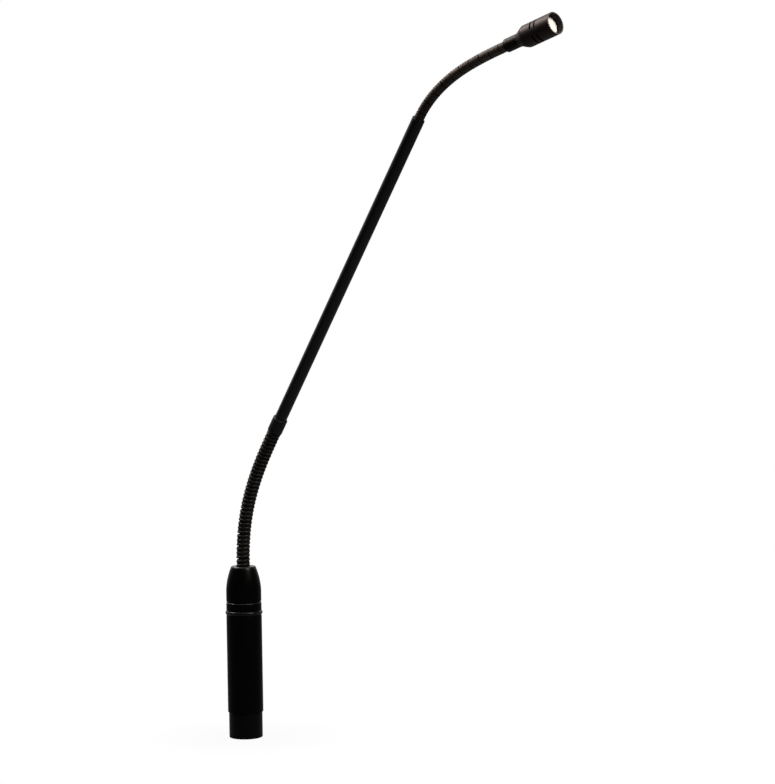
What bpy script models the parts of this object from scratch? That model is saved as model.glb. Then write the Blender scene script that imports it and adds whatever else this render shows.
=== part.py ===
"""Gooseneck podium microphone: plug, preamp barrel, two goosenecks, stem and capsule head.

Lengths below are millimetres and angles degrees; the scene is in metres, +Z up.
The origin is the centre of the plug's open end, the barrel runs up +Z, the neck leans to +X.
"""
import math

import bmesh
import bpy
from mathutils import Matrix, Vector

MM = 0.001
GAP = 0.3                     # clearance between pieces that touch

# Plug: a three-pin male connector
SHELL_DIA = 18.9
SHELL_BORE = 15.9
SHELL_LENGTH = 14.4           # part that shows below the barrel
PIN_DIA = 2.4
PIN_CIRCLE = 8.0
PIN_RECESS = 1.6              # pin tips sit this far inside the rim

# Barrel, seal ring, collar and cap
BARREL_DIA = 20.0
BARREL_TOP = 69.6
RING_DIA = 21.0
RING_HEIGHT = 2.2
COLLAR_TOP = 77.0
CAP_TOP = 97.2
CAP_STRAIGHT = 5.5            # straight foot of the cap, below its curved taper
CAP_MOUTH_DIA = 14.4          # where the curved taper meets the flat top

# Lower gooseneck
LOWER_LENGTH = 84.0
LOWER_BEND = 34.37
LOWER_SKEW = 0.763            # under 1 moves the bend towards the root
LOWER_DIA = 7.8
LOWER_WIRE = 1.6
LOWER_LINKS = 12
LOWER_TURNS = 3               # turns in one link

# Stem
COUPLING_DIA = 8.3
COUPLING_LENGTH = 9.3
STEM_DIA = 6.86
STEM_LENGTH = 191.6

# Upper gooseneck
UPPER_LENGTH = 71.2
UPPER_BEND = 40.67
UPPER_SKEW = 0.541
UPPER_DIA = 5.55
UPPER_WIRE = 1.1
UPPER_LINKS = 11
UPPER_TURNS = 4

# Head
HEAD_LENGTH = 32.6
SOCKET_DIA = 7.0
SOCKET_LENGTH = 8.6
SOCKET_CONE = 5.3
SLEEVE_DIA = 11.6
SLEEVE_WALL = 0.7
RECESS = 3.4                  # depth of the front mesh below the rim
PORT_WIDTH = 1.0
PORT_ROWS = (20.5, 23.4)      # slot centres, from the root of the head
PORT_BRIDGES = 3
PORT_OPEN = 0.71              # share of each row that is slot
PORT_TURN = -79.0             # where one bridge stands, from the plane of the bend

LEAD_DIA = 2.0
ROOT_HIDDEN = 3.0             # winding hidden in the cap, the stem and the head
POINTS_PER_CURL = 9

for old in list(bpy.data.objects):
    bpy.data.objects.remove(old, do_unlink=True)


def paint(name, colour, roughness, metallic):
    """A plain Principled material."""
    material = bpy.data.materials.new(name)
    material.use_nodes = True
    shader = material.node_tree.nodes["Principled BSDF"]
    shader.inputs["Base Color"].default_value = (*colour, 1.0)
    shader.inputs["Roughness"].default_value = roughness
    shader.inputs["Metallic"].default_value = metallic
    return material


BLACK = paint("black_paint", (0.012, 0.011, 0.010), 0.42, 0.3)
SATIN = paint("satin_black_metal", (0.020, 0.018, 0.017), 0.35, 0.6)
BROWNED = paint("browned_metal", (0.050, 0.042, 0.038), 0.35, 0.8)
RUBBER = paint("black_rubber", (0.010, 0.010, 0.010), 0.70, 0.0)
INSULATOR = paint("insulator", (0.025, 0.025, 0.025), 0.50, 0.0)
SILVER = paint("silvered_metal", (0.85, 0.82, 0.78), 0.25, 1.0)
GOLD = paint("contact_metal", (0.80, 0.78, 0.72), 0.22, 1.0)
BOARD = paint("circuit_board", (0.02, 0.12, 0.05), 0.45, 0.0)
CAN = paint("capacitor_can", (0.05, 0.06, 0.10), 0.35, 0.2)
FILM = paint("film", (0.78, 0.70, 0.42), 0.18, 0.9)
JACKET = paint("lead_jacket", (0.015, 0.015, 0.015), 0.55, 0.0)


def frame(name, position, lean, parent=None):
    """An empty whose Z axis leans from upright towards +X."""
    empty = bpy.data.objects.new(name, None)
    bpy.context.collection.objects.link(empty)
    empty.location = Vector(position) * MM
    empty.rotation_euler = (0.0, math.radians(lean), 0.0)
    empty.parent = parent
    return empty


def add(name, data, material, parent=None, position=(0, 0, 0), lean=0.0):
    data.materials.append(material)
    piece = bpy.data.objects.new(name, data)
    bpy.context.collection.objects.link(piece)
    piece.location = Vector(position) * MM
    piece.rotation_euler = (0.0, math.radians(lean), 0.0)
    piece.parent = parent
    return piece


def finish(bm, name):
    bmesh.ops.remove_doubles(bm, verts=bm.verts, dist=1e-6)
    bmesh.ops.recalc_face_normals(bm, faces=bm.faces)
    mesh = bpy.data.meshes.new(name)
    bm.to_mesh(mesh)
    bm.free()
    mesh.shade_smooth()
    mesh.set_sharp_from_angle(angle=math.radians(32))
    return mesh


def turned_mesh(name, outline, sides=36):
    """Revolve an outline of (radius, height) about Z; ends on the axis close by themselves."""
    bm = bmesh.new()
    verts = [bm.verts.new((r * MM, 0.0, z * MM)) for r, z in outline]
    pairs = list(zip(verts, verts[1:]))
    if outline[0][0] > 0 or outline[-1][0] > 0:
        pairs.append((verts[-1], verts[0]))
    edges = [bm.edges.new(pair) for pair in pairs]
    bmesh.ops.spin(bm, geom=verts + edges, cent=(0, 0, 0), axis=(0, 0, 1),
                   angle=2 * math.pi, steps=sides, use_merge=True)
    return finish(bm, name)


def turned(name, outline, material, parent=None, sides=36, position=(0, 0, 0)):
    return add(name, turned_mesh(name, outline, sides), material, parent, position)


def tube_outline(outer, inner, low, high, chamfer=0.0):
    c = chamfer
    return [(inner, low), (outer - c, low), (outer, low + c), (outer, high - c),
            (outer - c, high), (inner, high)] if c else \
           [(inner, low), (outer, low), (outer, high), (inner, high)]


def rod_outline(radius, low, high, chamfer=0.0):
    c = chamfer
    return [(0, low), (radius - c, low), (radius, low + c), (radius, high - c),
            (radius - c, high), (0, high)] if c else \
           [(0, low), (radius, low), (radius, high), (0, high)]


def box_mesh(name, size, centre):
    bm = bmesh.new()
    bmesh.ops.create_cube(bm, size=1.0)
    bmesh.ops.scale(bm, vec=Vector(size) * MM, verts=bm.verts)
    bmesh.ops.translate(bm, vec=Vector(centre) * MM, verts=bm.verts)
    return finish(bm, name)


def cutter(name, data, parent=None, matrix=None):
    tool = add(name, data, RUBBER, parent)
    if matrix is not None:
        tool.matrix_local = matrix
    tool.hide_render = True
    tool.display_type = "WIRE"
    return tool


def cut(piece, tool):
    boolean = piece.modifiers.new(tool.name, "BOOLEAN")
    boolean.operation = "DIFFERENCE"
    boolean.solver = "EXACT"
    boolean.object = tool


def arc(centre_r, centre_z, radius_r, radius_z, start, end, steps):
    """Points on a quarter-like arc of an ellipse, angles from +radius to +height."""
    points = []
    for i in range(steps + 1):
        a = math.radians(start + (end - start) * i / steps)
        points.append((centre_r + radius_r * math.cos(a), centre_z + radius_z * math.sin(a)))
    return points


def smoothstep(u):
    u = min(max(u, 0.0), 1.0)
    return u * u * (3.0 - 2.0 * u)


class Neck:
    """Centreline of one bent gooseneck in the XZ plane, by arc length from its root."""

    STEP = 0.25

    def __init__(self, start, lean, bend, length, skew):
        self.lean, self.bend, self.length, self.skew = lean, bend, length, skew
        self.points = [Vector(start)]
        count = round(length / self.STEP)
        for i in range(count):
            self.points.append(self.points[-1] + self.along((i + 0.5) * length / count) * length / count)

    def angle(self, s):
        u = min(max(s / self.length, 0.0), 1.0)
        return self.lean + self.bend * smoothstep(u ** self.skew)

    def along(self, s):
        a = math.radians(self.angle(s))
        return Vector((math.sin(a), 0.0, math.cos(a)))

    def at(self, s):
        last = len(self.points) - 1
        t = min(max(s / self.length * last, 0.0), last)
        i = min(int(t), last - 1)
        point = self.points[i].lerp(self.points[i + 1], t - i)
        over = s - min(max(s, 0.0), self.length)
        return point + self.along(s) * over


class Winding:
    """A round wire wound along a neck and parted into links that hinge on each other."""

    def __init__(self, name, neck, diameter, wire, links, turns, first, last):
        self.name, self.neck, self.wire, self.links, self.turns = name, neck, wire, links, turns
        self.radius = (diameter - wire) / 2
        self.first = first
        self.pitch = (last - first) / (links * turns)

    def joint_at(self, i):
        """Arc length of the hinge below link i."""
        return self.first + i * self.turns * self.pitch

    def point(self, turn):
        s = self.first + turn * self.pitch
        a = math.radians(self.neck.angle(s))
        across = Vector((math.cos(a), 0.0, -math.sin(a)))
        w = 2 * math.pi * turn + math.pi / 2
        return self.neck.at(s) + self.radius * (math.cos(w) * across + math.sin(w) * Vector((0, 1, 0)))

    def least_gap(self):
        """Least clear distance between one turn and the next."""
        step = 1.0 / 36
        count = int(self.links * self.turns / step)
        path = [self.point(i * step) for i in range(count + 1)]
        gaps = [(path[i] - path[j]).length for i in range(count - 17)
                for j in range(i + 18, min(i + 56, count + 1))]
        return min(gaps) - self.wire

    def build(self, material):
        parting = GAP + self.wire * math.sin(math.pi / POINTS_PER_CURL)
        ends = 0.5 * parting / (2 * math.pi * self.radius)
        for i in range(self.links):
            s = max(self.joint_at(i), self.first)
            origin, lean = self.neck.at(s), self.neck.angle(s)
            home = Matrix.Translation(origin) @ Matrix.Rotation(math.radians(lean), 4, "Y")
            low, high = i * self.turns + ends, (i + 1) * self.turns - ends
            steps = self.turns * POINTS_PER_CURL
            curve = bpy.data.curves.new(f"{self.name}_{i + 1:02d}", "CURVE")
            curve.dimensions = "3D"
            curve.bevel_depth = self.wire / 2 * MM
            curve.bevel_resolution = 1
            curve.use_fill_caps = True
            spline = curve.splines.new("POLY")
            spline.points.add(steps)
            for k, knot in enumerate(spline.points):
                place = home.inverted() @ self.point(low + (high - low) * k / steps)
                knot.co = (*(place * MM), 1.0)
            add(curve.name, curve, material, position=origin, lean=lean)
        print(f"{self.name}: pitch {self.pitch:.3f} mm, least gap {self.least_gap():.3f} mm")


def lead(name, points, parent=None):
    """A round lead along a run of points."""
    curve = bpy.data.curves.new(name, "CURVE")
    curve.dimensions = "3D"
    curve.bevel_depth = LEAD_DIA / 2 * MM
    curve.bevel_resolution = 2
    curve.use_fill_caps = True
    spline = curve.splines.new("POLY")
    spline.points.add(len(points) - 1)
    for knot, place in zip(spline.points, points):
        knot.co = (*(Vector(place) * MM), 1.0)
    return add(name, curve, JACKET, parent)


# Plug: shell with a latch window and keyway on its far side, insert, pins and grub screw
shell_r, bore_r = SHELL_DIA / 2, SHELL_BORE / 2
neck_r = 8.6
shell = turned("plug_shell", [
    (bore_r + 0.25, 0.0), (shell_r - 0.35, 0.0), (shell_r, 0.35), (shell_r, SHELL_LENGTH - GAP),
    (neck_r, SHELL_LENGTH - GAP), (neck_r, 24.0), (bore_r, 24.0), (bore_r, 0.25)], SATIN)
cut(shell, cutter("latch_window", box_mesh("latch_window", (4.6, 4.0, 3.0), (0, shell_r, 6.5))))
cut(shell, cutter("keyway", box_mesh("keyway", (2.4, 1.0, 9.0), (0, bore_r + 0.2, 3.5))))
hole = turned_mesh("screw_hole", rod_outline(1.3, 6.5, 11.0), 16)
cut(shell, cutter("screw_hole", hole, matrix=Matrix.Translation((0, 0, 0.0122))
                  @ Matrix.Rotation(math.radians(-90), 4, "X")))
grub = turned_mesh("insert_screw", rod_outline(1.0, bore_r - 0.05, shell_r - 0.2, 0.15), 16)
screw = add("insert_screw", grub, SILVER, position=(0, 0, 12.2))
screw.rotation_euler = (math.radians(-90), 0, 0)
insert = turned("plug_insert", [
    (0, 10.0), (bore_r - 0.35, 10.0), (bore_r - 0.35, 16.5), (6.6, 16.5), (6.6, 20.0), (0, 20.0)],
    INSULATOR)
for number, (x, y) in enumerate(((-1, 0), (1, 0), (0, -1)), 1):
    spot = Vector((x, y, 0)) * PIN_CIRCLE / 2
    well = turned_mesh("well", rod_outline(PIN_DIA / 2 + GAP, 9.0, 21.0), 16)
    cut(insert, cutter(f"pin_well_{number}", well, matrix=Matrix.Translation(spot * MM)))
    pin = [(0, PIN_RECESS)] + arc(0, PIN_RECESS + 1.0, PIN_DIA / 2, 1.0, -60, 0, 3)
    pin += [(PIN_DIA / 2, 23.5), (0, 23.5)]
    turned(f"plug_pin_{number}", pin, GOLD, sides=16, position=spot)

# Barrel with its seal ring, and the board inside
barrel_r = BARREL_DIA / 2
barrel_bore = neck_r + GAP
turned("preamp_barrel", tube_outline(barrel_r, barrel_bore, SHELL_LENGTH, BARREL_TOP, 0.3), BLACK)
ring_low = BARREL_TOP + GAP
ring_z = ring_low + RING_HEIGHT / 2
turned("seal_ring", [(barrel_bore + 0.1, ring_low), (barrel_bore + 0.1, ring_low + RING_HEIGHT)] + arc(
    RING_DIA / 2 - 0.8, ring_z, 0.8, RING_HEIGHT / 2, 90, -90, 4), RUBBER)
add("preamp_board", box_mesh("preamp_board", (14.0, 1.6, 37.0), (0, 0, 43.5)), BOARD)
for number, (z, radius) in enumerate(((36.0, 3.0), (51.0, 2.5)), 1):
    turned(f"board_capacitor_{number}", rod_outline(radius, z - 4.0, z + 4.0, 0.4), CAN,
           sides=20, position=(0, -0.8 - GAP - radius, 0))

# Collar band, ogive cap, and the ferrule and nut that hold the lower gooseneck in it
collar_low = ring_low + RING_HEIGHT + GAP
spigot_r, collar_bore = barrel_bore - GAP, 7.4
turned("barrel_collar", [
    (collar_bore, 65.0), (spigot_r, 65.0), (spigot_r, collar_low), (barrel_r - 0.15, collar_low),
    (barrel_r - 0.05, collar_low + 0.15), (barrel_r - 0.05, COLLAR_TOP - 0.35),
    (barrel_r - 0.4, COLLAR_TOP), (collar_bore, COLLAR_TOP)], BLACK)
cap_low = COLLAR_TOP + GAP
shoulder = cap_low + CAP_STRAIGHT
mouth_r, cap_r, hole_r = CAP_MOUTH_DIA / 2, barrel_r - 0.1, LOWER_DIA / 2 + 0.4
edge = 0.9                                      # rounding where taper meets top
rise, draw = CAP_TOP - edge - shoulder, cap_r - mouth_r
taper = [(cap_r - draw * (i / 7) ** 1.9, shoulder + rise * i / 7) for i in range(8)]
turned("barrel_cap", [
    (collar_bore - GAP - 0.8, cap_low - 4.0), (collar_bore - GAP, cap_low - 4.0),
    (collar_bore - GAP, cap_low), (cap_r - 0.35, cap_low), (cap_r, cap_low + 0.35)] + taper
    + arc(mouth_r - edge, CAP_TOP - edge, edge, edge, 20, 90, 3)
    + [(hole_r + 0.3, CAP_TOP), (hole_r, CAP_TOP - 0.3), (hole_r, 92.0), (6.3, 90.5),
       (6.3, cap_low + 1.0)], BLACK)
lead_hole = LEAD_DIA / 2 + 0.35
spigot = 1.75
winding_foot = CAP_TOP - ROOT_HIDDEN - LOWER_WIRE / 2 - GAP
turned("neck_ferrule", [
    (lead_hole, 81.0), (3.4, 81.0), (3.4, 86.0), (5.6, 86.0), (5.6, 88.2), (3.6, 88.2),
    (3.6, winding_foot), (spigot, winding_foot),
    (spigot, CAP_TOP), (lead_hole, CAP_TOP)], SATIN, sides=20)
nut = add("neck_lock_nut", turned_mesh("neck_lock_nut", rod_outline(5.9, 82.0, 85.4), 6), SATIN)
cut(nut, cutter("nut_bore", turned_mesh("nut_bore", rod_outline(3.4 + GAP, 80.0, 88.0), 20)))

# Lower gooseneck
lower = Neck((0, 0, CAP_TOP), 0.0, LOWER_BEND, LOWER_LENGTH, LOWER_SKEW)
Winding("lower_neck", lower, LOWER_DIA, LOWER_WIRE, LOWER_LINKS, LOWER_TURNS,
        -ROOT_HIDDEN, LOWER_LENGTH - GAP - LOWER_WIRE / 2).build(BLACK)
lead("lower_lead", [(0, 0, 67.0), (0, 0, 82.0)] + [
    lower.at(s) for s in range(-6, int(LOWER_LENGTH) + 4, 6)] + [lower.at(LOWER_LENGTH + 4)])

# Stem: coupling sleeve with a spigot in the winding, tube and lead
stem = frame("stem", lower.at(LOWER_LENGTH), LOWER_BEND)
coupling_r, stem_r = COUPLING_DIA / 2, STEM_DIA / 2
stem_bore = stem_r - 0.75
turned("lower_coupling", [
    (lead_hole, -4.0), (spigot, -4.0), (spigot, 0.0), (coupling_r - 0.4, 0.0), (coupling_r, 0.4),
    (coupling_r, COUPLING_LENGTH - 1.0), (stem_r + 0.15, COUPLING_LENGTH - GAP),
    (stem_bore - GAP, COUPLING_LENGTH - GAP), (stem_bore - GAP, COUPLING_LENGTH + 6.0),
    (lead_hole, COUPLING_LENGTH + 6.0)], SATIN, stem, 28)
stem_top = COUPLING_LENGTH + STEM_LENGTH
seat_r = UPPER_DIA / 2 + 0.33
turned("stem_tube", [
    (stem_bore, COUPLING_LENGTH), (stem_r, COUPLING_LENGTH), (stem_r, stem_top - 0.3),
    (stem_r - 0.15, stem_top), (seat_r, stem_top), (seat_r, stem_top - 7.5),
    (stem_bore, stem_top - 8.0)], BLACK, stem, 28)
root = stem_top - ROOT_HIDDEN - UPPER_WIRE / 2 - GAP
turned("upper_neck_root", [
    (lead_hole, root - 8.0), (stem_bore - GAP, root - 8.0), (stem_bore - GAP, root - 4.5),
    (seat_r - GAP, root - 3.5), (seat_r - GAP, root), (lead_hole, root)], SATIN, stem, 20)
lead("stem_lead", [(0, 0, 4.0 + GAP + z) for z in range(0, 180, 20)] + [(0, 0, root - 12.0)], stem)

# Upper gooseneck
upper = Neck(lower.at(LOWER_LENGTH + stem_top), LOWER_BEND, UPPER_BEND, UPPER_LENGTH, UPPER_SKEW)
Winding("upper_neck", upper, UPPER_DIA, UPPER_WIRE, UPPER_LINKS, UPPER_TURNS,
        -ROOT_HIDDEN, UPPER_LENGTH + ROOT_HIDDEN).build(SATIN)
lead("upper_lead", [lower.at(LOWER_LENGTH + root - 12.0 + GAP)] + [
    upper.at(s) for s in range(-6, int(UPPER_LENGTH) + 6, 5)] + [upper.at(UPPER_LENGTH + 10.0)])

# Head: tapered socket, slotted sleeve, front mesh and the capsule behind it
head = frame("head", upper.at(UPPER_LENGTH), LOWER_BEND + UPPER_BEND)
socket_r, sleeve_r = SOCKET_DIA / 2, SLEEVE_DIA / 2
sleeve_bore = sleeve_r - SLEEVE_WALL
cone_top = SOCKET_LENGTH + SOCKET_CONE
stop = ROOT_HIDDEN + UPPER_WIRE / 2 + GAP
cone = [(socket_r + (sleeve_r - socket_r) * smoothstep(0.12 + 0.76 * i / 5) / smoothstep(0.88),
         SOCKET_LENGTH + SOCKET_CONE * i / 5) for i in range(1, 6)]
turned("head_socket", [
    (seat_r, 0.0), (socket_r - 0.3, 0.0), (socket_r, 0.3), (socket_r, SOCKET_LENGTH)] + cone + [
    (sleeve_bore - GAP, cone_top), (sleeve_bore - GAP, cone_top + 3.0), (3.6, cone_top + 3.0),
    (3.6, 12.5), (lead_hole, 11.0), (lead_hole, stop), (seat_r, stop)], BROWNED, head, 32)
sleeve_low = cone_top + GAP
sleeve = turned("capsule_sleeve", [
    (sleeve_bore, sleeve_low), (sleeve_r, sleeve_low), (sleeve_r, HEAD_LENGTH - 0.25),
    (sleeve_r - 0.25, HEAD_LENGTH), (sleeve_bore + 0.25, HEAD_LENGTH),
    (sleeve_bore, HEAD_LENGTH - 0.25)], BROWNED, head, 36)
step = 360.0 / PORT_BRIDGES
slot = step * PORT_OPEN
inside, outside = sleeve_bore - 0.6, sleeve_r + 1.0
for row, height in enumerate(PORT_ROWS, 1):
    for number in range(PORT_BRIDGES):
        bm = bmesh.new()
        low, high = height - PORT_WIDTH / 2, height + PORT_WIDTH / 2
        wall = [(inside, low), (outside, low), (outside, high), (inside, high)]
        section = bm.faces.new([bm.verts.new((r * MM, 0, z * MM)) for r, z in wall])
        bmesh.ops.spin(bm, geom=[section, *section.edges, *section.verts], cent=(0, 0, 0),
                       axis=(0, 0, 1), angle=math.radians(slot), steps=8)
        start = PORT_TURN + step * (number + 0.5) - slot / 2
        turn = Matrix.Rotation(math.radians(start), 4, "Z")
        cut(sleeve, cutter(f"port_{row}_{number + 1}", finish(bm, "port"), head, turn))
mesh_top = HEAD_LENGTH - RECESS
disc_r = sleeve_bore - GAP
turned("front_mesh", rod_outline(disc_r, mesh_top - 0.5, mesh_top), SILVER, head, 32)
turned("capsule_gasket", tube_outline(disc_r, 3.2, mesh_top - 1.4, mesh_top - 0.5 - GAP), RUBBER, head, 24)
case_top = mesh_top - 1.4 - GAP
screen_r = disc_r - 0.17
case_r = screen_r - GAP
case_bore = case_r - 0.3
inner_r = case_bore - GAP
turned("capsule_case", [
    (case_bore, case_top - 8.0), (case_r, case_top - 8.0), (case_r, case_top), (3.0, case_top),
    (3.0, case_top - 0.4), (case_bore, case_top - 0.4)], SILVER, head, 24)
turned("diaphragm_ring", tube_outline(inner_r, 3.0, case_top - 1.3, case_top - 0.7), GOLD, head, 24)
turned("diaphragm", rod_outline(inner_r, case_top - 1.75, case_top - 1.6), FILM, head, 24)
turned("backplate", rod_outline(inner_r, case_top - 2.85, case_top - 2.05, 0.15), GOLD, head, 24)
turned("capsule_board", rod_outline(inner_r, case_top - 7.8, case_top - 6.9), BOARD, head, 24)
turned("port_screen", tube_outline(disc_r, screen_r, 18.4, 25.0), RUBBER, head, 24)
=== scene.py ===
import math

import bmesh
import bpy
from mathutils import Matrix, Vector


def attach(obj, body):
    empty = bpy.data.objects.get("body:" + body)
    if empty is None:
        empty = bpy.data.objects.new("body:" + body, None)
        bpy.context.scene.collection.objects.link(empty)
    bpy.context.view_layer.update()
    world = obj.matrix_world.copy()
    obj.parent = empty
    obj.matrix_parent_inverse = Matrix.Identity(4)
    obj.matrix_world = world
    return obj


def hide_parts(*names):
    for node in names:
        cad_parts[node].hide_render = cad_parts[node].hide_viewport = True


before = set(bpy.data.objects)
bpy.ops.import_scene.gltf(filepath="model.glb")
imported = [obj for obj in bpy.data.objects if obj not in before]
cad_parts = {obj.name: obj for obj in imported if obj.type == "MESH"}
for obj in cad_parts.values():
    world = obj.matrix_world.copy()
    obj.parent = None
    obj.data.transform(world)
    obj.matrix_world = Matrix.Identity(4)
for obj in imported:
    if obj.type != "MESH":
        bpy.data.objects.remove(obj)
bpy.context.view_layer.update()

MM = 0.001

# Sizes in millimetres and angles in degrees, as in the part's source
GAP = 0.3                       # clearance between pieces that touch
LEAD_R, LEAD_HOLE_R = 1.0, 1.35

# Plug: the shell with its neck inside the barrel, its cut-outs and its pins
SHELL_R, SHELL_BORE_R, SHELL_LENGTH = 9.45, 7.95, 14.4
SHELL_NECK_R, SHELL_TOP = 8.6, 24.0
LATCH_WINDOW, LATCH_HEIGHT = (4.6, 4.0, 3.0), 6.5
KEYWAY, KEYWAY_HEIGHT, KEYWAY_DEPTH = (2.4, 1.0, 9.0), 3.5, 0.2
SCREW_HOLE_R, SCREW_HOLE_FROM, SCREW_HOLE_TO, SCREW_HEIGHT = 1.3, 6.5, 11.0, 12.2
PIN_R, PIN_TIP, PIN_TOP = 1.2, 1.6, 23.5
PIN_PLACES = ((-4, 0), (4, 0), (0, -4))

# Barrel, seal ring, collar and cap
BARREL_R, BARREL_BORE_R, BARREL_TOP = 10.0, 8.9, 69.6
RING_R, RING_BORE_R, RING_HEIGHT, RING_CROWN = 10.5, 9.0, 2.2, 0.8
COLLAR_INSET, COLLAR_CHAMFER = 0.05, 0.5
COLLAR_R, COLLAR_RIM_R = BARREL_R - COLLAR_INSET, BARREL_R - COLLAR_CHAMFER
COLLAR_FOOT_R, COLLAR_BORE_R, COLLAR_FOOT, COLLAR_TOP = 8.6, 7.4, 65.0, 77.0
CAP_INSET, CAP_CHAMFER, CAP_EDGE = 0.1, 0.12, 0.9
CAP_R = BARREL_R - CAP_INSET
CAP_MOUTH_R, CAP_HOLE_R, CAP_BORE_R, CAP_SPIGOT_R = 7.2, 4.3, 6.3, 7.1
CAP_TOP, CAP_STRAIGHT, CAP_SPIGOT = 97.2, 5.5, 4.0
CAP_HOLE_FOOT, CAP_CEILING = 92.0, 90.5
CAP_CURVE, CAP_STEPS = 1.9, 24

# Goosenecks; their groove filler's height is in wires and its half width in pitches; below a sheen of 1 the
# filler keeps the wire's darkest tone and goes matt, a painted shade in the grooves
LOWER = dict(length=84.0, bend=34.37, skew=0.763, radius=3.9, wire=1.6, links=12, turns=3,
             fill=0.30, flat=0.19, sheen=0.0)
UPPER = dict(length=71.2, bend=40.67, skew=0.541, radius=2.775, wire=1.1, links=11, turns=4,
             fill=0.40, flat=0.25, sheen=0.6)
HIDDEN = 3.0                    # winding hidden in the cap, the stem and the head
LEAD_END = 4.0                  # lead that stands out past each end of a winding
LEAD_SIDES, LEAD_CUTS = 16, 6
PARTING, HINGE_TURN = 0.3, 9.5
TURN_STEPS, NECK_STEPS_PER_MM = 40, 4

# Stem
COUPLING_R, COUPLING_LENGTH, COUPLING_PLUG = 4.15, 9.3, 6.0
COUPLING_CHAMFER, COUPLING_LEDGE = 1.0, 0.15
SPIGOT_R, SPIGOT_LENGTH = 1.75, 4.0
STEM_R, STEM_WALL, STEM_LENGTH = 3.43, 0.75, 191.6
STEM_TOP = COUPLING_LENGTH + STEM_LENGTH
SEAT_PLAY, SEAT_DEPTH, SEAT_STEP = 0.33, 7.5, 8.0
SEAT_R = UPPER["radius"] + SEAT_PLAY

# Head
HEAD_LENGTH, RECESS = 32.6, 3.4
SOCKET_R, SOCKET_LENGTH, SOCKET_CONE, SOCKET_SPIGOT = 3.5, 8.6, 5.3, 3.0
SOCKET_WELL_R, SOCKET_WELL, SOCKET_FLOOR = 3.6, 12.5, 11.0
CONE_STEPS, CONE_BEGIN, CONE_END = 16, 0.12, 0.88
SLEEVE_R, SLEEVE_WALL, SLEEVE_SEAM = 5.8, 0.7, 0.05
SLEEVE_BORE_R = SLEEVE_R - SLEEVE_WALL
LINING_WALL, LINING_SET_BACK, LIP_HEIGHT = 0.12, 0.1, 0.3
LINING_R = SLEEVE_BORE_R + LINING_WALL
PORT_ROWS, PORT_WIDTH, PORT_BRIDGES, PORT_OPEN, PORT_TURN = (20.5, 23.4), 1.0, 3, 0.71, -79.0
PORT_CUT_IN, PORT_CUT_OUT = 0.6, 1.0
SCREEN_THICKNESS, SCREEN_CROWN = 0.5, 0.12

# Meshing: steps round a large piece, and the angles over which an edge is rounded or shaded as sharp
FINE, ROUND_STEPS, WELD = 128, 3, 1e-4
ROUNDED_EDGE, CUT_EDGE, WINDING_EDGE = 20, 30, 60


class Signal:
    """A shader socket that can stand in a Python sum."""

    def __init__(self, finish, socket):
        self.finish = finish
        self.socket = socket

    def _with(self, operation, first, second):
        return self.finish.node("Math", {"operation": operation}, {0: first, 1: second})

    def __add__(self, other):
        return self._with("ADD", self, other)

    def __radd__(self, other):
        return self._with("ADD", other, self)

    def __sub__(self, other):
        return self._with("SUBTRACT", self, other)

    def __rsub__(self, other):
        return self._with("SUBTRACT", other, self)

    def __mul__(self, other):
        return self._with("MULTIPLY", self, other)

    def __rmul__(self, other):
        return self._with("MULTIPLY", other, self)

    def __truediv__(self, other):
        return self._with("DIVIDE", self, other)


class Finish:
    """The nodes of one material or of the world."""

    def __init__(self, owner):
        owner.use_nodes = True
        self.owner = owner
        self.tree = owner.node_tree

    def node(self, kind, settings=None, sockets=None, out=0):
        node = self.tree.nodes.new("ShaderNode" + kind)
        for key, value in (settings or {}).items():
            setattr(node, key, value)
        self.feed(node, sockets or {})
        return Signal(self, node.outputs[out])

    def feed(self, node, sockets):
        for key, value in sockets.items():
            if isinstance(value, Signal):
                self.tree.links.new(value.socket, node.inputs[key])
            else:
                node.inputs[key].default_value = value

    def place(self):
        """The point being shaded, in the object's own metres."""
        return self.node("TexCoord", out="Object")

    def height(self):
        return self.node("SeparateXYZ", None, {0: self.place()}, "Z")

    def noise(self, scale, detail, rough=0.55):
        sockets = {"Vector": self.place(), "Scale": scale, "Detail": detail, "Roughness": rough}
        return self.node("TexNoise", None, sockets)

    def dot(self, first, second):
        return self.node("VectorMath", {"operation": "DOT_PRODUCT"}, {0: first, 1: second}, "Value")

    def ray(self, kind):
        return self.node("LightPath", out=f"Is {kind} Ray")

    def between(self, low, high, factor):
        """A colour that runs from low to high."""
        return self.node("MixRGB", None, {0: factor, 1: (*low, 1.0), 2: (*high, 1.0)})

    def ramp(self, value, *stops):
        """A grey that follows the stops, each a place and a grey."""
        ramped = self.node("ValToRGB", None, {0: value})
        elements = ramped.socket.node.color_ramp.elements
        while len(elements) < len(stops):
            elements.new(1.0)
        for element, (place, grey) in zip(elements, stops):
            element.position, element.color = place, (grey, grey, grey, 1.0)
        return ramped

    def bump(self, height, strength, distance):
        return self.node("Bump", None, {"Height": height, "Strength": strength, "Distance": distance})

    def surface(self, **sockets):
        """Feeds the material's main shader; an underscore stands for a space."""
        self.feed(self.tree.nodes["Principled BSDF"], {k.replace("_", " "): v for k, v in sockets.items()})
        return self.owner


def new_finish(name):
    return Finish(bpy.data.materials.new(name))


PER_DECIMETRE = 10.0


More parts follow.
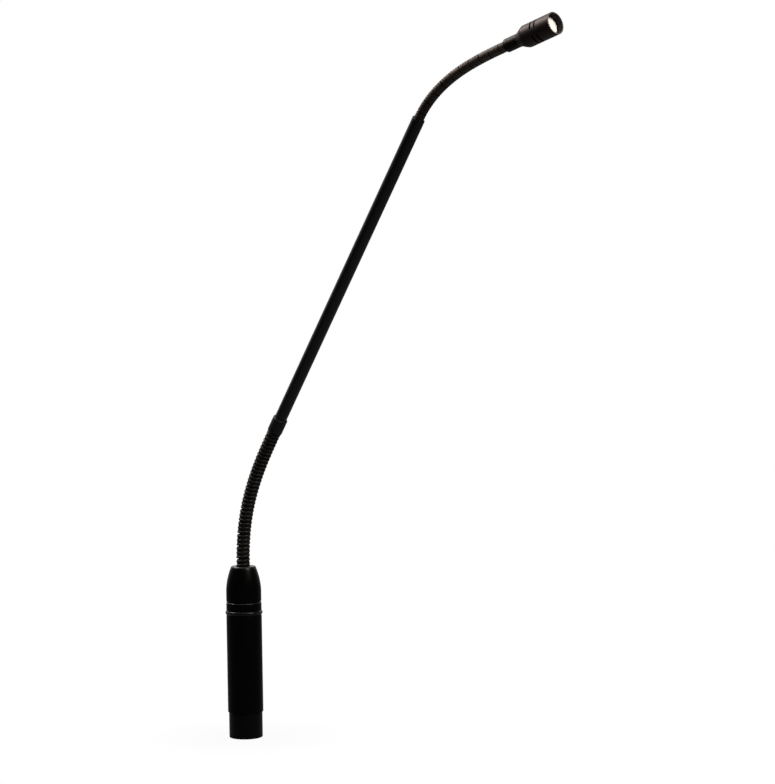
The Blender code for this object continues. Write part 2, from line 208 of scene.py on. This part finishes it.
def satin_paint(name, dark, light, rough, specular, metallic=0.0, grain=2600.0, relief=0.05, rubbed=()):
    """Fine-grained dark coating with handling marks, polished at the rubbed heights in decimetres."""
    coat = new_finish(name)
    cloud = coat.noise(scale=90.0, detail=4.0)
    speck = coat.noise(scale=grain, detail=2.0, rough=0.6)
    marks = coat.ramp(coat.noise(scale=340.0, detail=5.0, rough=0.7), (0.45, 0.0), (0.72, 1.0))
    polish = coat.ramp(coat.height() * PER_DECIMETRE, *rubbed) if rubbed else 0.0
    return coat.surface(Base_Color=coat.between(dark, light, cloud * 0.6 + speck * 0.4),
                        Roughness=rough - 0.06 + 0.10 * cloud + 0.05 * marks, Metallic=metallic,
                        Specular_IOR_Level=specular, Coat_Weight=polish, Coat_Roughness=0.28,
                        Normal=coat.bump(speck, strength=relief, distance=0.00012))


def wire_finish(name, dark, light, rough, metallic, specular, painted_highlight_heights=None):
    """Wire with a random rubbed tone on its crests and painted shade in its darker, matt grooves; where two
    heights are given, a painted highlight makes the crests brighter towards the second.
    """
    coat = new_finish(name)
    cloud = coat.noise(scale=160.0, detail=4.0)
    streak = coat.noise(scale=1500.0, detail=3.0, rough=0.7)
    crest = coat.node("Attribute", {"attribute_name": "crest"}, out="Fac")
    # Where the crest mark is 0 the colour stays at the dark tone and the surface goes matt: painted shade in
    # the grooves
    burnished = (rough - 0.08 + 0.16 * streak) * crest + 0.9 * (1.0 - crest)
    rub_tone_and_highlight = cloud * streak * 1.6 * crest
    # Painted highlight: the crests' colour grows brighter towards the second height
    if painted_highlight_heights:
        low, high = painted_highlight_heights
        rub_tone_and_highlight = rub_tone_and_highlight * 2.4 * coat.ramp((coat.height() - low) / (high - low), (0.0, 0.07), (1.0, 1.0))
    return coat.surface(Base_Color=coat.between(dark, light, rub_tone_and_highlight), Metallic=metallic * crest,
                        Roughness=burnished, Specular_IOR_Level=specular,
                        Normal=coat.bump(streak, strength=0.12, distance=0.0001))


def plain_finish(name, dark, light, rough, metallic=0.0):
    """Small parts: a slightly clouded metal, board or moulding."""
    coat = new_finish(name)
    cloud = coat.noise(scale=700.0, detail=4.0)
    return coat.surface(Base_Color=coat.between(dark, light, cloud), Metallic=metallic,
                        Roughness=rough - 0.06 + 0.12 * cloud,
                        Normal=coat.bump(cloud, strength=0.08, distance=0.0001))


def screen_finish(name, dark, light):
    """Bright woven screen across the front of the capsule."""
    coat = new_finish(name)
    cells = {"Vector": coat.place(), "Scale": 3600.0}
    weave = coat.node("TexVoronoi", {"feature": "DISTANCE_TO_EDGE"}, cells)
    threads = coat.ramp(weave, (0.02, 1.0), (0.16, 0.0))
    cloud = coat.noise(scale=500.0, detail=3.0, rough=0.5)
    return coat.surface(Base_Color=coat.between(dark, light, threads * 0.6 + cloud * 0.4),
                        Roughness=0.38 + 0.1 * cloud, Metallic=0.05,
                        Normal=coat.bump(threads, strength=0.015, distance=0.00005))


COLLAR_RUB = ((0.762, 0.0), (0.766, 0.4), (0.770, 0.4), (0.772, 0.0))
CAP_RUB = ((0.955, 0.0), (0.966, 0.5))
PAINT = satin_paint("barrel_paint", (0.0004, 0.0004, 0.0004), (0.0012, 0.0011, 0.0010),
                    rough=0.36, specular=0.03, rubbed=COLLAR_RUB + CAP_RUB)
STEM_PAINT = satin_paint("stem_paint", (0.0010, 0.0010, 0.0010), (0.0026, 0.0025, 0.0024),
                         rough=0.34, specular=0.16)
COUPLING_PAINT = satin_paint("coupling_paint", (0.0010, 0.0010, 0.0010), (0.0024, 0.0023, 0.0022),
                             rough=0.50, specular=0.14)
SHELL_PLATE = satin_paint("shell_plating", (0.0007, 0.0007, 0.0006), (0.0020, 0.0019, 0.0018),
                          rough=0.38, specular=0.05)
RUBBER = satin_paint("ring_rubber", (0.0010, 0.0010, 0.0010), (0.0025, 0.0025, 0.0025),
                     rough=0.30, specular=0.14, grain=1200.0)
LOWER_WIRE = wire_finish("lower_wire", (0.006, 0.0053, 0.0048), (0.034, 0.0300, 0.0275),
                         rough=0.42, metallic=0.6, specular=0.06)
# The upper wire carries a painted highlight, brighter towards the head end
UPPER_WIRE = wire_finish("upper_wire", (0.008, 0.0060, 0.0052), (0.085, 0.0640, 0.0555),
                         rough=0.46, metallic=1.0, specular=0.3, painted_highlight_heights=(0.335, 0.383))
HEAD_PLATE = satin_paint("head_plating", (0.015, 0.0110, 0.0095), (0.021, 0.0155, 0.0134),
                         rough=0.50, specular=0.3, metallic=1.0, relief=0.02)
SOCKET_PLATE = satin_paint("socket_plating", (0.006, 0.0044, 0.0038), (0.009, 0.0066, 0.0057),
                           rough=0.50, specular=0.3, metallic=1.0, relief=0.02)
# Painted highlight: a lighter, unmetalled copy of the head plating for the sleeve's front rim
LIP_HIGHLIGHT = satin_paint("lip_painted_highlight", (0.060, 0.055, 0.052), (0.085, 0.078, 0.073),
                        rough=0.42, specular=0.3, relief=0.02)
LINING = satin_paint("lining_paint", (0.026, 0.020, 0.017), (0.036, 0.028, 0.024),
                     rough=0.55, specular=0.04, relief=0.02)
SCREEN = screen_finish("front_screen", (0.86, 0.80, 0.72), (0.96, 0.92, 0.86))
MOULDING = plain_finish("insert_moulding", (0.012, 0.012, 0.012), (0.03, 0.03, 0.03), rough=0.5)
CONTACT = plain_finish("contact_plating", (0.62, 0.60, 0.55), (0.80, 0.78, 0.72), rough=0.25, metallic=1.0)
BRIGHT = plain_finish("bright_metal", (0.60, 0.58, 0.55), (0.80, 0.78, 0.75), rough=0.28, metallic=1.0)
BOARD = plain_finish("board_green", (0.012, 0.07, 0.03), (0.02, 0.13, 0.05), rough=0.45)
CAN = plain_finish("capacitor_sleeve", (0.03, 0.035, 0.06), (0.05, 0.06, 0.10), rough=0.35, metallic=0.1)
FILM = plain_finish("diaphragm_film", (0.60, 0.52, 0.30), (0.78, 0.70, 0.42), rough=0.18, metallic=0.9)
JACKET = plain_finish("lead_jacket", (0.008, 0.008, 0.008), (0.02, 0.02, 0.02), rough=0.55)


def clamp(value, low, high):
    return min(max(value, low), high)


def smoothstep(share):
    share = clamp(share, 0.0, 1.0)
    return share * share * (3.0 - 2.0 * share)


class Neck:
    """Centreline of a bent gooseneck in the XZ plane."""

    def __init__(self, start, lean, size):
        self.lean = lean
        self.bend, self.length, self.skew = size["bend"], size["length"], size["skew"]
        self.points = [Vector(start)]
        count = round(self.length * NECK_STEPS_PER_MM)
        step = self.length / count
        for i in range(count):
            self.points.append(self.points[-1] + self.along((i + 0.5) * step) * step)

    def angle(self, run):
        share = clamp(run / self.length, 0.0, 1.0)
        return math.radians(self.lean + self.bend * smoothstep(share ** self.skew))

    def along(self, run):
        return Vector((math.sin(self.angle(run)), 0.0, math.cos(self.angle(run))))

    def at(self, run):
        """The centreline's point after a run, straight on past either end."""
        last = len(self.points) - 1
        place = clamp(run / self.length * last, 0.0, last)
        i = min(int(place), last - 1)
        past = run - clamp(run, 0.0, self.length)
        return self.points[i].lerp(self.points[i + 1], place - i) + self.along(run) * past

    def bent(self, local):
        """A straight-neck point (across, sideways, along) in its bent place."""
        angle = self.angle(local.z)
        across = Vector((math.cos(angle), 0.0, -math.sin(angle)))
        return self.at(local.z) + across * local.x + Vector((0.0, local.y, 0.0))


def leaning(point, degrees):
    return Matrix.Translation(point) @ Matrix.Rotation(math.radians(degrees), 4, "Y")


lower = Neck((0, 0, CAP_TOP), 0.0, LOWER)
upper = Neck(lower.at(LOWER["length"] + STEM_TOP), LOWER["bend"], UPPER)
BASE_PLACE = Matrix.Identity(4)
STEM_PLACE = leaning(lower.at(LOWER["length"]), LOWER["bend"])
HEAD_PLACE = leaning(upper.at(UPPER["length"]), LOWER["bend"] + UPPER["bend"])


def make(name, bm, finish, place=BASE_PLACE):
    bmesh.ops.transform(bm, matrix=Matrix.Scale(MM, 4) @ place, verts=bm.verts)
    mesh = bpy.data.meshes.new(name)
    bm.to_mesh(mesh)
    bm.free()
    mesh.materials.append(finish)
    mesh.shade_smooth()
    piece = bpy.data.objects.new(name, mesh)
    bpy.context.collection.objects.link(piece)
    return piece


def revolve(outline, steps, round_off=0.0):
    """A turned solid with its sharp edges rounded."""
    bm = bmesh.new()
    verts = [bm.verts.new((r, 0.0, z)) for r, z in outline]
    pairs = list(zip(verts, verts[1:]))
    if outline[0][0] > 0 or outline[-1][0] > 0:
        pairs.append((verts[-1], verts[0]))
    edges = [bm.edges.new(pair) for pair in pairs]
    bmesh.ops.spin(bm, geom=verts + edges, cent=(0, 0, 0), axis=(0, 0, 1), angle=2 * math.pi, steps=steps,
                   use_merge=True)
    bmesh.ops.remove_doubles(bm, verts=bm.verts, dist=WELD)
    bmesh.ops.recalc_face_normals(bm, faces=bm.faces)
    if round_off:
        limit = math.radians(ROUNDED_EDGE)
        sharp = [e for e in bm.edges if len(e.link_faces) == 2 and e.calc_face_angle() > limit]
        bmesh.ops.bevel(bm, geom=sharp, offset=round_off, offset_type="OFFSET", segments=ROUND_STEPS,
                        profile=0.5, affect="EDGES", clamp_overlap=True, material=-1)
    return bm


def even_normals(piece):
    weighted = piece.modifiers.new("normals", "WEIGHTED_NORMAL")
    weighted.weight, weighted.keep_sharp = 100, True
    return piece


def turned(name, outline, finish, body, node, place=BASE_PLACE, round_off=0.12, steps=96):
    piece = even_normals(make(name, revolve(outline, steps, round_off), finish, place))
    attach(piece, body)
    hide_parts(node)
    return piece


def carved(piece, *tools):
    """Cuts the tools' shapes out of a piece, for good."""
    piece.modifiers.clear()
    for tool in tools:
        cut = piece.modifiers.new("cut", "BOOLEAN")
        cut.operation, cut.solver, cut.object = "DIFFERENCE", "EXACT", tool
    bpy.context.view_layer.update()
    shaped = bpy.data.meshes.new_from_object(piece.evaluated_get(bpy.context.evaluated_depsgraph_get()))
    piece.modifiers.clear()
    piece.data = shaped
    shaped.shade_smooth()
    shaped.set_sharp_from_angle(angle=math.radians(CUT_EDGE))
    for tool in tools:
        bpy.data.objects.remove(tool, do_unlink=True)
    return even_normals(piece)


def block(size, centre):
    bm = bmesh.new()
    bmesh.ops.create_cube(bm, size=1.0)
    bmesh.ops.scale(bm, vec=size, verts=bm.verts)
    bmesh.ops.translate(bm, vec=centre, verts=bm.verts)
    return make("tool", bm, PAINT)


def arc(centre_r, centre_z, radius_r, radius_z, start, end, steps):
    turns = [math.radians(start + (end - start) * i / steps) for i in range(steps + 1)]
    return [(centre_r + radius_r * math.cos(a), centre_z + radius_z * math.sin(a)) for a in turns]


def plug():
    rim = SHELL_LENGTH - GAP
    shell = turned("plug_shell_skin", [
        (SHELL_BORE_R, 0.0), (SHELL_R, 0.0), (SHELL_R, rim), (SHELL_NECK_R, rim),
        (SHELL_NECK_R, SHELL_TOP), (SHELL_BORE_R, SHELL_TOP)],
        SHELL_PLATE, "base", "plug_shell", round_off=0.28)
    hole = revolve([
        (0, SCREW_HOLE_FROM), (SCREW_HOLE_R, SCREW_HOLE_FROM), (SCREW_HOLE_R, SCREW_HOLE_TO),
        (0, SCREW_HOLE_TO)], steps=32)
    sideways = Matrix.Translation((0, 0, SCREW_HEIGHT)) @ Matrix.Rotation(math.radians(-90), 4, "X")
    carved(shell, block(LATCH_WINDOW, (0, SHELL_R, LATCH_HEIGHT)),
           block(KEYWAY, (0, SHELL_BORE_R + KEYWAY_DEPTH, KEYWAY_HEIGHT)),
           make("tool", hole, PAINT, sideways))
    tip = arc(0, PIN_TIP + PIN_R, PIN_R, PIN_R, -80, 0, 8)
    pin = [(0, PIN_TIP)] + tip + [(PIN_R, PIN_TOP), (0, PIN_TOP)]
    for number, (x, y) in enumerate(PIN_PLACES, 1):
        turned(f"plug_pin_skin_{number}", pin, CONTACT, "base", f"plug_pin_{number}",
               Matrix.Translation((x, y, 0)), round_off=0.0, steps=40)


def base():
    turned("barrel_skin", [
        (BARREL_BORE_R, SHELL_LENGTH), (BARREL_R, SHELL_LENGTH), (BARREL_R, BARREL_TOP),
        (BARREL_BORE_R, BARREL_TOP)],
        PAINT, "base", "preamp_barrel", round_off=0.3, steps=FINE)
    ring_low = BARREL_TOP + GAP
    ring_high, ring_middle = ring_low + RING_HEIGHT, ring_low + RING_HEIGHT / 2
    crown = arc(RING_R - RING_CROWN, ring_middle, RING_CROWN, RING_HEIGHT / 2, 90, -90, 12)
    turned("seal_ring_skin", [(RING_BORE_R, ring_low), (RING_BORE_R, ring_high)] + crown,
           RUBBER, "base", "seal_ring", round_off=0.0, steps=FINE)
    collar_low = ring_high + GAP
    turned("collar_skin", [
        (COLLAR_BORE_R, COLLAR_FOOT), (COLLAR_FOOT_R, COLLAR_FOOT), (COLLAR_FOOT_R, collar_low),
        (COLLAR_R, collar_low), (COLLAR_R, COLLAR_TOP - COLLAR_CHAMFER), (COLLAR_RIM_R, COLLAR_TOP),
        (COLLAR_BORE_R, COLLAR_TOP)],
        PAINT, "base", "barrel_collar", round_off=0.12, steps=FINE)
    cap()


def cap():
    """The cap: straight foot, curved taper and a rounded mouth."""
    low = COLLAR_TOP + GAP
    shoulder, spigot_low = low + CAP_STRAIGHT, low - CAP_SPIGOT
    rise, draw = CAP_TOP - CAP_EDGE - shoulder, CAP_R - CAP_MOUTH_R
    shares = [i / CAP_STEPS for i in range(CAP_STEPS + 1)]
    taper = [(CAP_R - draw * share ** CAP_CURVE, shoulder + rise * share) for share in shares]
    mouth = arc(CAP_MOUTH_R - CAP_EDGE, CAP_TOP - CAP_EDGE, CAP_EDGE, CAP_EDGE, 20, 90, 8)
    turned("cap_skin", [
        (CAP_BORE_R, spigot_low), (CAP_SPIGOT_R, spigot_low), (CAP_SPIGOT_R, low), (CAP_R - CAP_CHAMFER, low),
        (CAP_R, low + CAP_CHAMFER)] + taper + mouth + [
        (CAP_HOLE_R, CAP_TOP), (CAP_HOLE_R, CAP_HOLE_FOOT), (CAP_BORE_R, CAP_CEILING)],
        PAINT, "base", "barrel_cap", round_off=0.1, steps=FINE)


def stem():
    bore = STEM_R - STEM_WALL
    plug_r, plug_low, plug_top = bore - GAP, COUPLING_LENGTH - GAP, COUPLING_LENGTH + COUPLING_PLUG
    turned("coupling_skin", [
        (LEAD_HOLE_R, -SPIGOT_LENGTH), (SPIGOT_R, -SPIGOT_LENGTH), (SPIGOT_R, 0.0), (COUPLING_R, 0.0),
        (COUPLING_R, COUPLING_LENGTH - COUPLING_CHAMFER), (STEM_R + COUPLING_LEDGE, plug_low),
        (plug_r, plug_low), (plug_r, plug_top), (LEAD_HOLE_R, plug_top)],
        COUPLING_PAINT, "stem", "lower_coupling", STEM_PLACE, round_off=0.1)
    turned("stem_skin", [
        (bore, COUPLING_LENGTH), (STEM_R, COUPLING_LENGTH), (STEM_R, STEM_TOP), (SEAT_R, STEM_TOP),
        (SEAT_R, STEM_TOP - SEAT_DEPTH), (bore, STEM_TOP - SEAT_STEP)],
        STEM_PAINT, "stem", "stem_tube", STEM_PLACE, round_off=0.14)


def port(height, number):
    """The shape of one port slot, to be cut out of the sleeve."""
    slot = 360.0 / PORT_BRIDGES * PORT_OPEN
    low, high = height - PORT_WIDTH / 2, height + PORT_WIDTH / 2
    inner, outer = SLEEVE_BORE_R - PORT_CUT_IN, SLEEVE_R + PORT_CUT_OUT
    bm = bmesh.new()
    corners = ((inner, low), (outer, low), (outer, high), (inner, high))
    face = bm.faces.new([bm.verts.new((r, 0, z)) for r, z in corners])
    bmesh.ops.spin(bm, geom=[face, *face.edges, *face.verts], cent=(0, 0, 0), axis=(0, 0, 1),
                   angle=math.radians(slot), steps=24)
    bmesh.ops.recalc_face_normals(bm, faces=bm.faces)
    start = PORT_TURN + 360.0 / PORT_BRIDGES * (number + 0.5) - slot / 2
    return make("tool", bm, PAINT, HEAD_PLACE @ Matrix.Rotation(math.radians(start), 4, "Z"))


def head():
    bore, cone_top = SLEEVE_BORE_R, SOCKET_LENGTH + SOCKET_CONE
    shares = [i / CONE_STEPS for i in range(1, CONE_STEPS + 1)]
    cone = []
    for share in shares:
        swell = smoothstep(CONE_BEGIN + (CONE_END - CONE_BEGIN) * share) / smoothstep(CONE_END)
        cone.append((SOCKET_R + (SLEEVE_R - SOCKET_R) * swell, SOCKET_LENGTH + SOCKET_CONE * share))
    stop, spigot_top = HIDDEN + UPPER["wire"] / 2 + GAP, cone_top + SOCKET_SPIGOT
    turned("head_socket_skin", [(SEAT_R, 0.0), (SOCKET_R, 0.0), (SOCKET_R, SOCKET_LENGTH)] + cone + [
        (bore - GAP, cone_top), (bore - GAP, spigot_top), (SOCKET_WELL_R, spigot_top),
        (SOCKET_WELL_R, SOCKET_WELL), (LEAD_HOLE_R, SOCKET_FLOOR), (LEAD_HOLE_R, stop), (SEAT_R, stop)],
        SOCKET_PLATE, "head", "head_socket", HEAD_PLACE, round_off=0.15)
    foot, lip_low, screen_top = cone_top + SLEEVE_SEAM, HEAD_LENGTH - LIP_HEIGHT, HEAD_LENGTH - RECESS
    lining_low, lining_top = screen_top + SLEEVE_SEAM, HEAD_LENGTH - LINING_SET_BACK
    sleeve = turned("sleeve_skin", [
        (bore, foot), (SLEEVE_R, foot), (SLEEVE_R, lip_low), (LINING_R, lip_low), (LINING_R, lining_low),
        (bore, lining_low)],
        HEAD_PLATE, "head", "capsule_sleeve", HEAD_PLACE, round_off=0.04, steps=FINE)
    turned("lining_skin", [
        (bore, lining_low), (LINING_R, lining_low), (LINING_R, lining_top), (bore, lining_top)],
        LINING, "head", "capsule_sleeve", HEAD_PLACE, round_off=0.0, steps=FINE)
    # The front rim takes the painted-highlight finish
    turned("lip_skin", [
        (LINING_R, lip_low), (SLEEVE_R, lip_low), (SLEEVE_R, HEAD_LENGTH), (LINING_R, HEAD_LENGTH)],
        LIP_HIGHLIGHT, "head", "capsule_sleeve", HEAD_PLACE, round_off=0.1, steps=FINE)
    carved(sleeve, *[port(height, number) for height in PORT_ROWS for number in range(PORT_BRIDGES)])
    edge, back = bore - GAP, screen_top - SCREEN_THICKNESS
    turned("front_screen_skin", [(0, back), (edge, back), (edge, screen_top - SCREEN_CROWN), (0, screen_top)],
           SCREEN, "head", "front_mesh", HEAD_PLACE, round_off=0.05)


def sections(size, pitch):
    """Outlines of a winding's wire, groove filler, lip and fin, as (across, along) points."""
    wire, fill = size["wire"], size["fill"]
    coil_r = size["radius"] - wire / 2
    groove_low, groove_high = 0.5 - size["flat"], 0.5 + size["flat"]

    def outline(*points):
        """Points in wire diameters out from the coil's middle and in pitches along it."""
        return [(coil_r + across * wire, along * pitch) for across, along in points]

    round_wire = arc(coil_r, 0, wire / 2, wire / 2, 0, 330, 11)
    groove = outline((fill, groove_high), (-0.4, 0.9), (-0.4, 0.1), (fill, groove_low))
    lip = outline((fill, 0.59), (-0.06, 0.615), (-0.06, 0.25), (fill, groove_low))
    fin = outline((-0.5, -0.62), (-0.28, -0.62), (-0.28, -0.12), (-0.5, -0.12))
    return round_wire, groove, lip, fin


def wind(bm, outline, begin, turns, pitch, **marks):
    """Winds a closed outline into a coil about Z; a mark fills a layer for the outline's first points."""
    start = Matrix.Translation((0, 0, begin * pitch)) @ Matrix.Rotation(2 * math.pi * begin, 4, "Z")
    loop = [bm.verts.new(start @ Vector((r, 0, z))) for r, z in outline]
    for layer, values in marks.items():
        for v, value in zip(loop, values):
            v[bm.verts.layers.float[layer]] = value
    edges = [bm.edges.new((loop[k - 1], loop[k])) for k in range(len(loop))]
    steps = round(turns * TURN_STEPS)
    bmesh.ops.spin(bm, geom=loop + edges, cent=(0, 0, 0), axis=(0, 0, 1), dvec=(0, 0, turns * pitch / steps),
                   angle=2 * math.pi * turns, steps=steps)


def draw_back(bm, number):
    """Lets lip and fin give way where their hinge closes: odd partings hinge forwards, even ones sideways."""
    parted = bm.verts.layers.float["parted"]
    closing = math.sin(math.radians(HINGE_TURN))
    for v in bm.verts:
        forwards = (v[parted] > 0) == bool(number % 2)
        v.co.z -= v[parted] * closing * abs(v.co.x if forwards else v.co.y)
    bm.verts.layers.float.remove(parted)


def link(size, pitch, number):
    """One link of a winding, still straight, from height 0 up."""
    turns = size["turns"]
    round_wire, groove, lip, fin = sections(size, pitch)
    slack = PARTING / (2 * math.pi * (size["radius"] - size["wire"] / 2))
    # Filler marked below 1 keeps the darkest tone and goes matt: painted shade in the grooves
    burnished, filled = [1.0] * len(round_wire), [size["sheen"]] * len(groove)
    bm = bmesh.new()
    bm.verts.layers.float.new("crest")
    bm.verts.layers.float.new("parted")
    wind(bm, round_wire, 0, turns - slack, pitch, crest=burnished)
    wind(bm, groove, 0, turns - 1 - slack, pitch, crest=filled)
    if number < size["links"]:
        wind(bm, lip, turns - 1 - slack, 1, pitch, crest=filled, parted=[1.0, 1.0])
    else:
        # The winding closes with a flat turn under the piece that holds its end
        flat_turn = [(r, z + turns * pitch) for r, z in round_wire]
        wind(bm, flat_turn, 0, 1 - slack, 0.0, crest=burnished)
    if number > 1:
        wind(bm, fin, 0, 1 - slack, pitch, parted=[-1.0, -1.0])
    bmesh.ops.rotate(bm, cent=(0, 0, 0), matrix=Matrix.Rotation(math.pi / 2, 3, "Z"), verts=bm.verts)
    draw_back(bm, number)
    return bm


def add_lead(bm, low, high):
    """A straight length of the lead, cut across so that it can be bent."""
    middle = Matrix.Translation((0, 0, (low + high) / 2))
    made = bmesh.ops.create_cone(bm, cap_ends=True, segments=LEAD_SIDES, radius1=LEAD_R, radius2=LEAD_R,
                                 depth=high - low, matrix=middle)
    ends = set(made["verts"])
    rails = [e for e in bm.edges if e.verts[0] in ends and abs(e.verts[0].co.z - e.verts[1].co.z) > WELD]
    bmesh.ops.subdivide_edges(bm, edges=rails, cuts=LEAD_CUTS)


def winding(tag, neck, size, first, last, bodies, finish):
    """The gooseneck's wire, groove filler and lead, one length for each link."""
    links, turns = size["links"], size["turns"]
    pitch = (last - first) / (links * turns)
    for i in range(1, links + 1):
        low = first + (i - 1) * turns * pitch
        high = low + turns * pitch
        bm = link(size, pitch, i)
        bmesh.ops.translate(bm, vec=(0, 0, low), verts=bm.verts)
        lead_low = low + PARTING / 2 if i > 1 else first - LEAD_END
        lead_high = high - PARTING / 2 if i < links else last + LEAD_END
        add_lead(bm, lead_low, lead_high)
        bmesh.ops.holes_fill(bm, edges=[e for e in bm.edges if e.is_boundary], sides=0)
        bmesh.ops.recalc_face_normals(bm, faces=bm.faces)
        for v in bm.verts:
            v.co = neck.bent(v.co)
        piece = make(f"{tag}_winding_{i:02d}", bm, finish)
        piece.data.set_sharp_from_angle(angle=math.radians(WINDING_EDGE))
        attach(piece, bodies[i - 1])
        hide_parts(f"{tag}_neck_{i:02d}", *([f"{tag}_lead"] if i == 1 else []))


def goosenecks():
    lower_bodies = ["base"] + [f"lower_link_{i:02d}" for i in range(2, LOWER["links"])] + ["stem"]
    upper_bodies = ["stem"] + [f"upper_link_{i:02d}" for i in range(2, UPPER["links"])] + ["head"]
    lower_end, upper_end = LOWER["length"] - GAP - LOWER["wire"] / 2, UPPER["length"] + HIDDEN
    winding("lower", lower, LOWER, -HIDDEN, lower_end, lower_bodies, LOWER_WIRE)
    winding("upper", upper, UPPER, -HIDDEN, upper_end, upper_bodies, UPPER_WIRE)


def dress_inner_pieces():
    """Finishes for the CAD nodes that no piece replaces."""
    wear = {
        MOULDING: ["plug_insert"],
        BRIGHT: ["insert_screw", "capsule_case"],
        BOARD: ["preamp_board", "capsule_board"],
        CAN: ["board_capacitor_1", "board_capacitor_2"],
        FILM: ["diaphragm"],
        JACKET: ["stem_lead"],
        CONTACT: ["diaphragm_ring", "backplate"],
        RUBBER: ["capsule_gasket", "port_screen"],
        SHELL_PLATE: ["neck_ferrule", "neck_lock_nut", "upper_neck_root"],
    }
    for finish, names in wear.items():
        for name in names:
            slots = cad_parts[name].data.materials
            slots.clear()
            slots.append(finish)


# Camera, in metres, with the focal length in the photograph's pixels
FOCAL_PIXELS, PHOTO_HEIGHT, SENSOR_HEIGHT = 2304.27, 784, 24.0
EYE = (0.96608827, -0.86986979, 0.25504986)
FORWARD = Vector((-0.69814987, 0.71443260, -0.04661357))
UP = Vector((-0.02230597, 0.04337034, 0.99881002))


def camera():
    eye = bpy.data.objects.new("camera", bpy.data.cameras.new("camera"))
    bpy.context.collection.objects.link(eye)
    bpy.context.scene.camera = eye
    eye.data.sensor_fit, eye.data.sensor_height = "VERTICAL", SENSOR_HEIGHT
    eye.data.lens = FOCAL_PIXELS * SENSOR_HEIGHT / PHOTO_HEIGHT
    eye.data.clip_start, eye.data.clip_end = 0.05, 50.0
    right = FORWARD.cross(UP).normalized()
    turn = Matrix((right, right.cross(FORWARD), -FORWARD)).transposed().to_4x4()
    eye.matrix_world = Matrix.Translation(EYE) @ turn


def lamp(name, place, aim, size, radiance, colour=(1, 1, 1)):
    """A soft box, given by how bright its face looks."""
    data = bpy.data.lights.new(name, "AREA")
    data.shape, data.size, data.size_y, data.color = "RECTANGLE", size[0], size[1], colour
    data.energy = math.pi * size[0] * size[1] * radiance
    lamp_object = bpy.data.objects.new(name, data)
    bpy.context.collection.objects.link(lamp_object)
    lamp_object.location = place
    lamp_object.rotation_euler = (Vector(aim) - Vector(place)).to_track_quat("-Z", "Y").to_euler()


# Studio, in metres, with the level direction from the camera to the plug
BACKWARD = (-0.743, 0.669, 0.0)
FLOOR_REACH, FLOOR_DROP = 6.0, 0.00005
WHITE = (1, 1, 1, 1)
AMBIENT = 0.12


def backdrop(finish, facing):
    """How bright the backdrop is in a mirror: white behind the object, nearly black in front of it."""
    return finish.ramp(facing * 0.5 + 0.5, (0.55, 0.05), (0.90, 1.0))


def sky():
    world = Finish(bpy.data.worlds.new("studio"))
    bpy.context.scene.world = world.owner
    straight = world.ray("Camera") + world.ray("Transmission")
    glossy = world.ray("Glossy")
    facing = world.dot(world.node("TexCoord", out="Generated"), BACKWARD)
    strength = straight + glossy * backdrop(world, facing) + AMBIENT * (1.0 - straight - glossy)
    world.feed(world.tree.nodes["Background"], {"Color": WHITE, "Strength": strength})


def floor():
    """A floor that looks white, has a painted shade round the object's foot, where a trace of its own shadow
    shows, and is dim in mirrors near the object.
    """
    pale = new_finish("pale_floor")
    shader = pale.tree.nodes["Principled BSDF"]
    pale.surface(Base_Color=(0.08, 0.08, 0.08, 1), Roughness=0.9, Specular_IOR_Level=0.0)
    glow = pale.node("Emission", None, {"Color": WHITE, "Strength": 1.0})
    reach = pale.node("VectorMath", {"operation": "LENGTH"}, {0: pale.place()}, "Value")
    # Painted shade: within a few centimetres of the foot the floor's glow dims to 0.96
    white = pale.ramp(reach, (0.012, 0.96), (0.06, 1.0))
    far = pale.ramp(reach / FLOOR_REACH, (0.25, 0.0), (0.70, 1.0))
    sweep = backdrop(pale, pale.dot(pale.place(), BACKWARD) / reach) * far
    mirrored = pale.ray("Glossy") * (pale.ramp(reach, (0.30, 0.28), (0.75, 0.03)) + sweep)
    seen = (pale.ray("Camera") + pale.ray("Transmission")) * white + mirrored
    mixed = pale.node("MixShader", None, {0: seen, 1: Signal(pale, shader.outputs[0]), 2: glow})
    pale.tree.links.new(mixed.socket, pale.tree.nodes["Material Output"].inputs["Surface"])
    bm = bmesh.new()
    bmesh.ops.create_grid(bm, x_segments=1, y_segments=1, size=FLOOR_REACH / MM)
    bmesh.ops.translate(bm, vec=(0, 0, -FLOOR_DROP / MM), verts=bm.verts)
    make("floor", bm, pale.owner)


def studio():
    bpy.context.scene.view_settings.view_transform = "Standard"
    sky()
    floor()
    lamp("overhead", (0.1, -0.05, 1.7), (0.1, 0, 0.2), (1.4, 1.4), radiance=3.0)
    lamp("upper_left", (-0.71, -0.27, 1.09), (0.18, 0, 0.35), (0.62, 0.44), radiance=20.0,
         colour=(1.0, 0.93, 0.87))
    lamp("front_high", (1.12, 0.11, 1.04), (0.24, 0, 0.38), (0.6, 0.6), radiance=16.0,
         colour=(1.0, 0.97, 0.93))


camera()
plug()
base()
stem()
head()
goosenecks()
dress_inner_pieces()
studio()
